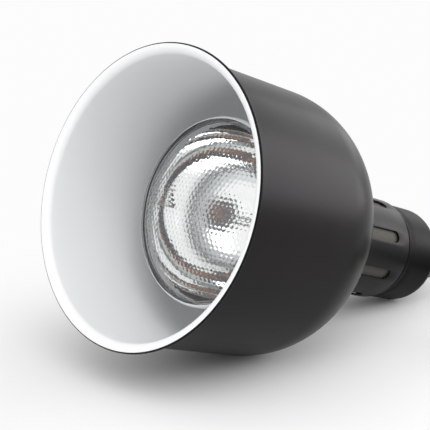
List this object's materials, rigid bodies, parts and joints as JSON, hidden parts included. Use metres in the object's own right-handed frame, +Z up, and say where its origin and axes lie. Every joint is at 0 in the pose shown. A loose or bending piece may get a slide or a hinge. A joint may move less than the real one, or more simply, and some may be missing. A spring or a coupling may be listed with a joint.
{
  "type": "food heat lamp",
  "caption": "Pendant heat lamp for keeping food warm: bell shade, slotted neck, domed cap, reflector bulb in a screw lampholder, and a cord with a plug.",
  "frame": {"origin": "middle of the lamp's footprint without its cord, on the surface that it lies on", "axes": "+X from the shade's mouth towards the cap, +Y to the left of that, +Z up; the lamp's own axis falls 18 degrees towards +X"},
  "size_m": [0.411, 0.2482, 0.2022],
  "materials": {
    "charcoal_enamel": "matt stoved enamel, white inside",
    "black_enamel": "satin stoved enamel",
    "tube_metal": "bare, dull",
    "zinc_steel": "bright zinc plate",
    "black_steel": "black oxide",
    "rivet_metal": "bare",
    "porcelain": "glazed white porcelain",
    "holder_brass": "bright brass",
    "clear_glass": "clear pressed glass, dimpled inside",
    "silvered_glass": "pressed glass, aluminised inside",
    "tungsten": "dull coiled wire",
    "lead_metal": "drawn wire",
    "ferrule_brass": "oxidised brass",
    "cap_aluminium": "spun",
    "black_glass": "moulded black glass",
    "solder": "dull solder",
    "black_nylon": "moulded",
    "seal_rubber": "soft",
    "cord_sheath": "matt sheath",
    "brown_wire": "heat-resistant sleeve",
    "blue_wire": "heat-resistant sleeve",
    "green_yellow_wire": "heat-resistant sleeve",
    "tie_band": "woven band",
    "plug_moulding": "moulded, satin",
    "pin_plate": "nickel plate"
  },
  "bodies": {
    "lamp": {"shade": "charcoal_enamel", "inner_tube": "tube_metal", "tube_rivets": "rivet_metal", "vented_sleeve": "black_enamel", "cap": "black_enamel", "cap_screws": "black_steel", "holder_bracket": "zinc_steel", "bracket_screws": "zinc_steel", "lampholder_body": "porcelain", "lampholder_shell": "holder_brass", "centre_contact": "holder_brass", "contact_rivets": "holder_brass", "wire_terminals": "holder_brass", "terminal_screws": "zinc_steel", "holder_screws": "zinc_steel", "earth_tag": "zinc_steel", "earth_screw": "zinc_steel", "live_wire": "brown_wire", "neutral_wire": "blue_wire", "earth_wire": "green_yellow_wire", "gland_body": "black_nylon", "gland_washer": "seal_rubber", "gland_locknut": "zinc_steel", "gland_seal": "seal_rubber", "gland_nut": "black_nylon", "strain_relief": "seal_rubber", "cord_tail": "cord_sheath", "cord": "cord_sheath", "cord_coil": "cord_sheath", "cord_end": "cord_sheath", "coil_tie": "tie_band", "plug_body": "plug_moulding", "plug_pins": "pin_plate", "plug_earth_clips": "pin_plate"},
    "bulb_travel": {"bulb_tip": "solder"},
    "bulb": {"bulb_lens": "clear_glass", "bulb_reflector": "silvered_glass", "bulb_filament": "tungsten", "bulb_lead_wires": "lead_metal", "bulb_ferrules": "ferrule_brass", "bulb_feed_wires": "lead_metal", "bulb_skirt": "cap_aluminium", "bulb_screw_shell": "cap_aluminium", "bulb_insulator": "black_glass"}
  },
  "joints": [
    {"name": "bulb_slide", "type": "slide", "parent": "lamp", "child": "bulb_travel", "axis": [-0.951, 0, 0.3093], "range_m": [0, 0.01815]},
    {"name": "bulb_turn", "type": "hinge", "parent": "bulb_travel", "child": "bulb", "pos_m": [0.02721, 0, 0.06201], "axis": [-0.951, 0, 0.3093], "range_deg": [0, 1800]}
  ],
  "couplings": [
    {"joint": "bulb_slide", "follows": "bulb_turn", "m_per_rad": 0.00057757}
  ]
}
